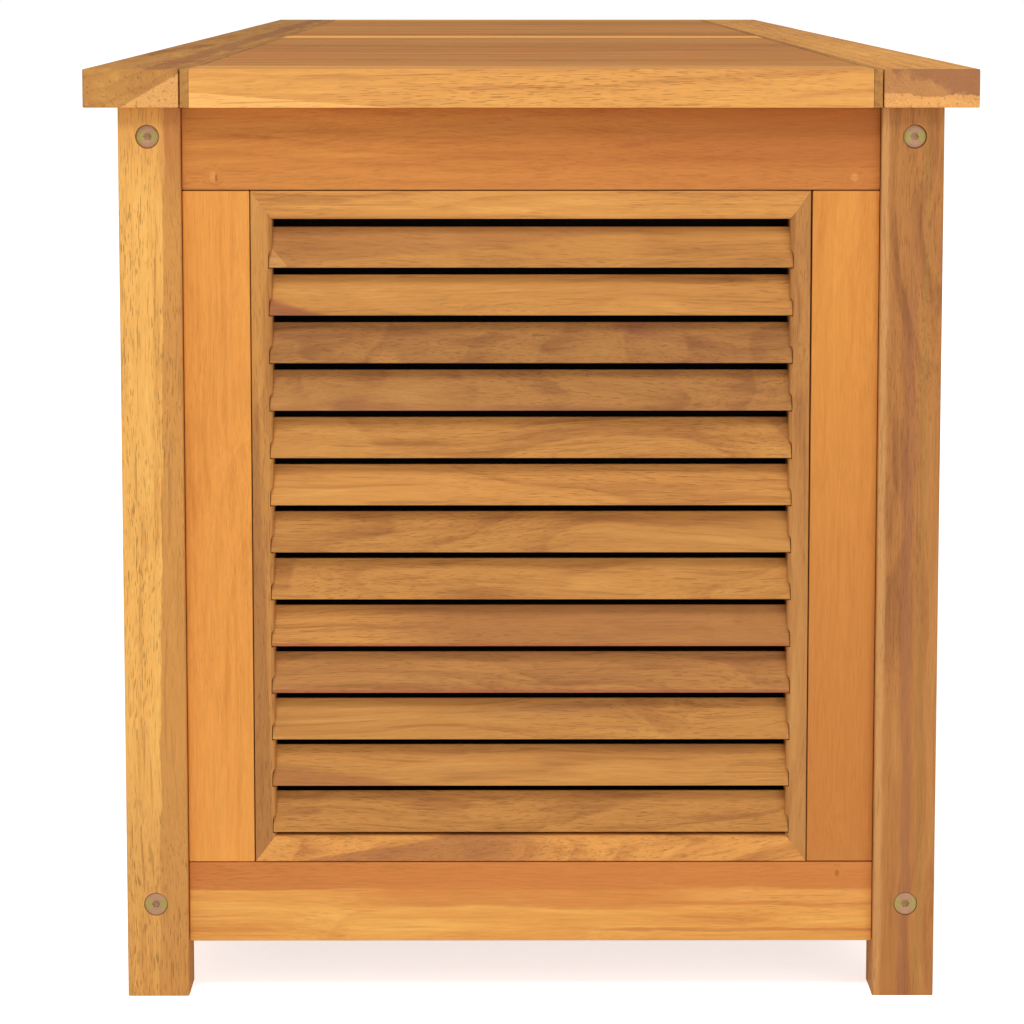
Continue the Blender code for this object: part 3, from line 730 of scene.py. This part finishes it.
def moulding_mesh(start, along, inward, width, length, miters, taper=0.0, shorten=0.0):
    """A mitred moulding. start is its outer corner, along and inward are unit vectors in the wall,
    and miters the widths of the two mouldings that it meets. At its far end its outer edge lies
    taper further in, and shorten further back."""
    bm = bmesh.new()
    outline = moulding_profile(width)
    loops = []
    for end in (0, 1):
        loop = []
        for share, depth in outline:
            mitre = miters[end] * share
            distance = length - mitre - shorten * (1 - share) if end else mitre
            aside = width * share + taper * end * (1 - share)
            point = start + along * distance + inward * aside + Vector((0, depth, 0))
            loop.append(bm.verts.new(point))
        loops.append(loop)
    for i in range(len(outline)):
        j = (i + 1) % len(outline)
        bm.faces.new((loops[0][i], loops[0][j], loops[1][j], loops[1][i]))
    bm.faces.new(loops[0])
    bm.faces.new(loops[1])
    return finish_mesh(bm, "moulding")


def rounded(corners, radii, steps=4):
    """A closed outline in which each corner is an arc of its own radius."""
    outline = []
    for i, (corner, radius) in enumerate(zip(corners, radii)):
        to_last = (corners[i - 1] - corner).normalized()
        to_next = (corners[(i + 1) % len(corners)] - corner).normalized()
        half = to_last.angle(to_next) / 2
        middle = corner + (to_last + to_next).normalized() * (radius / math.sin(half))
        start = (corner + to_last * (radius / math.tan(half)) - middle).normalized()
        end = (corner + to_next * (radius / math.tan(half)) - middle).normalized()
        for step in range(steps + 1):
            outline.append(middle + start.slerp(end, step / steps) * radius)
    return outline


def slat_section(face_y, lowest_z, grow=0.0):
    """A tilted slat's section in (y, z): its lower edge stands forward and is cut level."""
    cos, sin = math.cos(SLAT_TILT), math.sin(SLAT_TILT)
    up_face = Vector((sin, cos)) * SLAT_WIDTH
    through = Vector((cos, -sin)) * SLAT_THICKNESS
    corners = [Vector((0, 0)), Vector((SLAT_THICKNESS / cos, 0)), up_face + through, up_face]
    radii = [SLAT_NOSE_ROUND, SLAT_BACK_ROUND, SLAT_BACK_ROUND, SLAT_NOSE_ROUND]
    if grow:
        middle = sum(corners, Vector((0, 0))) / len(corners)
        corners = [c + (c - middle).normalized() * grow * 1.6 for c in corners]
    origin = Vector((face_y + SLAT_SETBACK, lowest_z))
    return [origin + point for point in rounded(corners, radii)]


def add_prism(bm, near, far):
    near = [bm.verts.new(point) for point in near]
    far = [bm.verts.new(point) for point in far]
    for i in range(len(near)):
        j = (i + 1) % len(near)
        bm.faces.new((near[i], near[j], far[j], far[i]))
    bm.faces.new(near)
    bm.faces.new(far)


def add_slat(bm, section, low_x, high_x):
    add_prism(bm, [(low_x, y, z) for y, z in section], [(high_x, y, z) for y, z in section])


def add_notch(bm, lowest_z, edge_x, outward):
    """The front opening of a slat's housing: as wide as the housing, with a rounded top."""
    reach = SLAT_HOUSING + HOUSING_GAP
    top = lowest_z + NOTCH_HEIGHT
    inner = edge_x - outward * CUT_OVERLAP
    outline = [(inner, lowest_z - HOUSING_GAP), (edge_x + outward * reach, lowest_z - HOUSING_GAP)]
    steps = 6
    for i in range(steps + 1):
        angle = math.pi / 2 * i / steps
        x = edge_x + outward * reach * math.cos(angle)
        outline.append((x, top - NOTCH_CURVE * (1 - math.sin(angle))))
    outline.append((inner, top))
    add_prism(bm, [(x, -CUT_OVERLAP, z) for x, z in outline], [(x, NOTCH_DEPTH, z) for x, z in outline])


def slat_levels():
    """Heights of the slats' lower edges above the panel's foot."""
    lowest = MOULDING_BOTTOM + LOWEST_SLAT_GAP
    return [lowest + i * SLAT_PITCH for i in range(SLATS_PER_PANEL)]


def upright_mesh(side, height):
    """The left or right moulding of a louvre panel with the slats' housings, its foot at the origin."""
    outward = -1 if side == "left" else 1
    taper = 0.0 if side == "left" else MOULDING_TAPER
    inward = Vector((-outward, 0, 0))
    ends = (MOULDING_BOTTOM, MOULDING_TOP)
    blank = moulding_mesh(Vector(), Vector((0, 0, 1)), inward, MOULDING_SIDE, height, ends, taper)
    edge_x = -outward * MOULDING_SIDE
    deep_x = edge_x + outward * (SLAT_HOUSING + HOUSING_GAP)
    low_x, high_x = sorted((deep_x, edge_x - outward * CUT_OVERLAP))
    housings, notches = bmesh.new(), bmesh.new()
    for level in slat_levels():
        add_slat(housings, slat_section(0, level, HOUSING_GAP), low_x, high_x)
        add_notch(notches, level, edge_x, outward)
    return cut_from(blank, [housings, notches])


def louver_panel(node, wall, uprights):
    """Four mitred mouldings, thirteen slats and a backing board in place of a CAD louvre panel. The backing
    board is a guessed piece, and its black is painted shade that stands in for the dark inside of the box
    behind the slats.
    """
    turn = Matrix.Rotation(WALL_TURNS[wall], 4, "Z")
    corners = [turn.inverted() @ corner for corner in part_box(node)]
    low = Vector([min(axis) for axis in zip(*corners)])
    high = Vector([max(axis) for axis in zip(*corners)])
    level_grain = "X" if wall.endswith("end") else "Y"
    draw = random.Random(node)

    def add(label, mesh, kind, along, **options):
        name = f"{node}_{label}"
        mesh.transform(turn)
        mesh.set_sharp_from_angle(angle=SHARP_ABOVE)
        obj = place_piece(name, mesh, named_wood(name, kind, along, **options), "box")

    x, z = Vector((1, 0, 0)), Vector((0, 0, 1))
    width = high.x - low.x
    height = high.z - low.z
    start = Vector((low.x, low.y, low.z))
    sides = (MOULDING_SIDE, MOULDING_SIDE)
    bottom = moulding_mesh(start, x, z, MOULDING_BOTTOM, width, sides)
    top = moulding_mesh(start + z * height, x, -z, MOULDING_TOP, width, sides, shorten=MOULDING_TAPER)
    add("bottom_moulding", bottom, draw.choice(("tan", "grey")), level_grain, slope=draw.uniform(0, 0.1))
    add("top_moulding", top, "tan", level_grain)
    for side, side_x in (("left", low.x), ("right", high.x)):
        mesh = uprights[side].copy()
        mesh.transform(Matrix.Translation((side_x, low.y, low.z)))
        add(f"{side}_moulding", mesh, "grey", "Z", tone=draw.uniform(0.98, 1.10))

    open_low = low.x + MOULDING_SIDE
    open_high = high.x - MOULDING_SIDE
    for number, level in enumerate(reversed(slat_levels()), start=1):
        bm = bmesh.new()
        section = slat_section(low.y, low.z + level)
        add_slat(bm, section, open_low - SLAT_HOUSING, open_high + SLAT_HOUSING)
        kind = draw.choice(("tan", "grey", "tan"))
        add(f"slat_{number}", finish_mesh(bm, "slat"), kind, level_grain, tone=draw.uniform(0.90, 1.0),
            heart=draw.choice((0, 0, 0.5)), slope=draw.uniform(-0.05, 0.05))

    # The guessed black backing board: painted shade, seen through the gaps between the slats.
    hold = SLAT_HOUSING
    name = node + "_backing"
    bm = bmesh.new()
    back = high.y - BACKING_INSET
    add_box(bm, (open_low - hold, back - BACKING_THICKNESS, low.z + MOULDING_BOTTOM - hold),
            (open_high + hold, back, high.z - MOULDING_TOP + hold))
    mesh = finish_mesh(bm, name)
    mesh.transform(turn)
    backing = place_piece(name, mesh, shade_black_paint(name + "_paint"), "box")
    round_edges(backing, HAIRLINE, segments=2)
    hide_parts(node)


# Slatted panels of the lid and the floor


def slatted_panel(node, label, body, count, gap, thickness, batten, kinds, trim=0.0):
    """Boards across the box, side by side along Y, on two battens. trim shortens their ends."""
    low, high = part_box(node)
    half = frame_half_width(node) - trim
    bottom = high.z - thickness
    width = (high.y - low.y - (count - 1) * gap) / count
    draw = random.Random(node)
    for i in range(count):
        start = low.y + i * (width + gap)
        name = f"{label}_{i + 1}"
        material = named_wood(name, draw.choice(kinds), "X", tone=draw.uniform(1.06, 1.13), gloss=BOARD_GLOSS,
                              heart=draw.choice((0, 0, 0.4)), slope=draw.uniform(-0.02, 0.02))
        first, last = (-half, start, bottom), (half, start + width, high.z)
        board(name, first, last, material, body)
    batten_x, batten_width = batten
    for side, x in (("front", -batten_x), ("rear", batten_x)):
        name = f"{label}_{side}_batten"
        board(name, (x - batten_width / 2, low.y, low.z), (x + batten_width / 2, high.y, bottom - HAIRLINE),
              named_wood(name, "brown", "Y"), body)
    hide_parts(node)


def frame_half_width(node):
    """Half the width of a slatted panel without the tongues that enter the lid's long rails."""
    if node.startswith("lid"):
        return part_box("lid_rear_rail")[0].x - LID_GAP
    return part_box(node)[1].x


def build_lid():
    for node in ("lid_front_rail", "lid_rear_rail"):
        dress(node, named_wood(node, "lid", "Y", gloss=BOARD_GLOSS), LID_EDGE)
    low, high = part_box("lid_rear_rail")
    outer = low.x - LID_GAP
    inner = outer - EDGE_STRIP
    for side, sign in (("front", -1), ("rear", 1)):
        name = f"lid_{side}_edge_strip"
        x_low, x_high = sorted((sign * inner, sign * outer))
        material = named_wood(name, "lid", "Y", tone=0.82, gloss=BOARD_GLOSS)
        board(name, (x_low, low.y, low.z), (x_high, high.y, high.z), material, "lid", TIGHT_EDGE)
    for which in ("right_end", "middle", "left_end"):
        node = f"lid_{which}_rail"
        rail_low, rail_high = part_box(node)
        half = inner - HAIRLINE
        obj = board(node + "_board", (-half, rail_low.y, rail_low.z), (half, rail_high.y, rail_high.z),
                    named_wood(node, "lid", "X", gloss=BOARD_GLOSS), "lid", TIGHT_EDGE)
        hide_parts(node)
    for side in ("right", "left"):
        slatted_panel(f"lid_slats_{side}", f"lid_slat_{side}", "lid", SLATS_PER_BAY,
                      LID_SLAT_GAP, LID_SLAT_THICKNESS, LID_BATTEN, ("grey", "brown", "grey"),
                      EDGE_STRIP + HAIRLINE)


# Body


def build_body():
    kinds = {"front_right": "honey", "rear_right": "brown", "front_left": "brown", "rear_left": "honey"}
    for corner, kind in kinds.items():
        post("post_" + corner, kind)
    low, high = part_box("right_end_louver_panel")
    uprights = {side: upright_mesh(side, high.z - low.z) for side in ("left", "right")}
    for wall in WALL_TURNS:
        ends = wall.endswith("end")
        axis = "X" if ends else "Y"
        dress(f"{wall}_top_rail", named_wood(f"{wall}_top_rail", "red", axis), RAIL_EDGE)
        dress(f"{wall}_bottom_rail", named_wood(f"{wall}_bottom_rail", "straw", axis), RAIL_EDGE)
        for number in range(1, 3 if ends else 5):
            name = f"{wall}_stile_{number}"
            dress(name, named_wood(name, "orange" if number % 2 else "amber", "Z"), RAIL_EDGE)
        panels = [f"{wall}_louver_panel"] if ends else [f"{wall}_louver_panel_{i}" for i in (1, 2, 3)]
        for panel in panels:
            louver_panel(panel, wall, uprights)


def build_floor():
    for side in ("front", "rear"):
        dress(f"floor_cleat_{side}", named_wood(f"floor_cleat_{side}", "brown", "Y"), RAIL_EDGE)
    for side in ("right", "left"):
        slatted_panel(f"floor_panel_{side}", f"floor_board_{side}", "box", FLOOR_BOARDS,
                      FLOOR_BOARD_GAP, FLOOR_BOARD_THICKNESS, FLOOR_BATTEN, ("grey", "brown"))


# Hardware


def screw_rings():
    radius = SCREW_HEAD_RADIUS
    return [
        (0.0003, -0.0010),
        (0.0007, -0.0009),
        (0.0010, 0.0001),
        (0.0016, 0.0002),
        (radius - 0.0003, 0.00012),
        (radius, 0.0),
        (radius, -0.0003),
        (0.0014, -0.0020),
        (0.0014, -SCREW_LENGTH + 0.002),
        (0.0002, -SCREW_LENGTH),
    ]


def hinge_screws(name, leaf, outward, body, steel):
    """Three countersunk screws in a hinge leaf."""
    low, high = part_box(leaf)
    middle_y = (low.y + high.y) / 2
    bm = bmesh.new()
    for y in (-SCREW_SPREAD, 0, SCREW_SPREAD):
        if body == "box":
            place = (low.x + LEAF_THICKNESS, middle_y + y, low.z + SCREW_INSET)
        else:
            place = (high.x - SCREW_INSET, middle_y + y, high.z - LEAF_THICKNESS)
        lathe(bm, screw_rings(), place, outward, sides=24, polygons={1: 4, 2: 4})
    mesh = finish_mesh(bm, name)
    mesh.set_sharp_from_angle(angle=SHARP_ABOVE)
    place_piece(name, mesh, steel, body)


def build_hardware():
    for node in list(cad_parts):
        if node.startswith("bolt_"):
            bolt(node)
        if node.startswith("hinge_"):
            dress(node, satin_steel(node + "_steel"), 0.0002)
    for which in ("right", "middle", "left"):
        hinge = f"hinge_{which}"
        steel = satin_steel(hinge + "_screw_steel")
        hinge_screws(f"{hinge}_body_screws", f"{hinge}_body_leaf", (1, 0, 0), "box", steel)
        hinge_screws(f"{hinge}_lid_screws", f"{hinge}_lid_leaf", (0, 0, -1), "lid", steel)


# Stage


def soft_light(name, place, target, size, power):
    data = bpy.data.lights.new(name, "AREA")
    data.shape = "SQUARE"
    data.size = size
    data.energy = power
    obj = bpy.data.objects.new(name, data)
    obj.location = place
    direction = Vector(target) - Vector(place)
    obj.rotation_euler = direction.to_track_quat("-Z", "Y").to_euler()
    bpy.context.scene.collection.objects.link(obj)


def build_stage():
    mesh = bpy.data.meshes.new("studio_floor")
    bm = bmesh.new()
    bmesh.ops.create_circle(bm, cap_ends=True, segments=96, radius=30.0)
    bm.to_mesh(mesh)
    bm.free()
    floor = bpy.data.objects.new("studio_floor", mesh)
    bpy.context.scene.collection.objects.link(floor)
    graph = Graph("studio_floor_paint")
    place = graph.add("ShaderNodeTexCoord", {}, "Object")
    grain = graph.noise(place, (30, 30, 30), 3.0)
    colour = graph.mix(grain, srgb(252, 252, 252), srgb(248, 248, 248))
    seen = graph.add("ShaderNodeLightPath", {}, "Is Camera Ray")
    glow = graph.add("ShaderNodeMapRange", {0: seen, 3: FLOOR_GLOW, 4: FLOOR_SEEN_GLOW})
    paint = graph.finish(Base_Color=colour, Roughness=0.95, Specular_IOR_Level=0.0,
                         Emission_Color=(1, 1, 1, 1), Emission_Strength=glow)
    mesh.materials.append(paint)

    soft_light("key", (-0.6, -2.8, 3.2), (0, -0.8, 0.3), 0.8, KEY_POWER)
    soft_light("fill", (1.8, -3.4, 1.2), (0, -0.8, 0.25), 2.0, FILL_POWER)
    soft_light("top", (0, 1.0, 3.2), (0, 0.3, 0.4), 2.5, TOP_POWER)

    world = bpy.data.worlds.new("studio")
    bpy.context.scene.world = world
    world.use_nodes = True
    tree = world.node_tree
    background = tree.nodes["Background"]
    background.inputs["Color"].default_value = (1, 1, 1, 1)
    # The backdrop is seen white, and it lights the box less than that.
    path = tree.nodes.new("ShaderNodeLightPath")
    strength = tree.nodes.new("ShaderNodeMapRange")
    tree.links.new(path.outputs["Is Camera Ray"], strength.inputs[0])
    strength.inputs[3].default_value = AMBIENT
    strength.inputs[4].default_value = 1.0
    tree.links.new(strength.outputs[0], background.inputs["Strength"])
    bpy.context.scene.view_settings.view_transform = "Standard"


def build_camera():
    data = bpy.data.cameras.new("camera")
    data.lens = CAMERA_LENS
    data.sensor_width = 36.0
    data.shift_y = CAMERA_SHIFT
    data.clip_start = 0.05
    data.clip_end = 100.0
    obj = bpy.data.objects.new("camera", data)
    obj.location = CAMERA_PLACE
    obj.rotation_euler = (math.pi / 2 - CAMERA_PITCH, 0, -CAMERA_YAW)
    bpy.context.scene.collection.objects.link(obj)
    bpy.context.scene.camera = obj


build_camera()
build_stage()
build_body()
build_floor()
build_lid()
build_hardware()
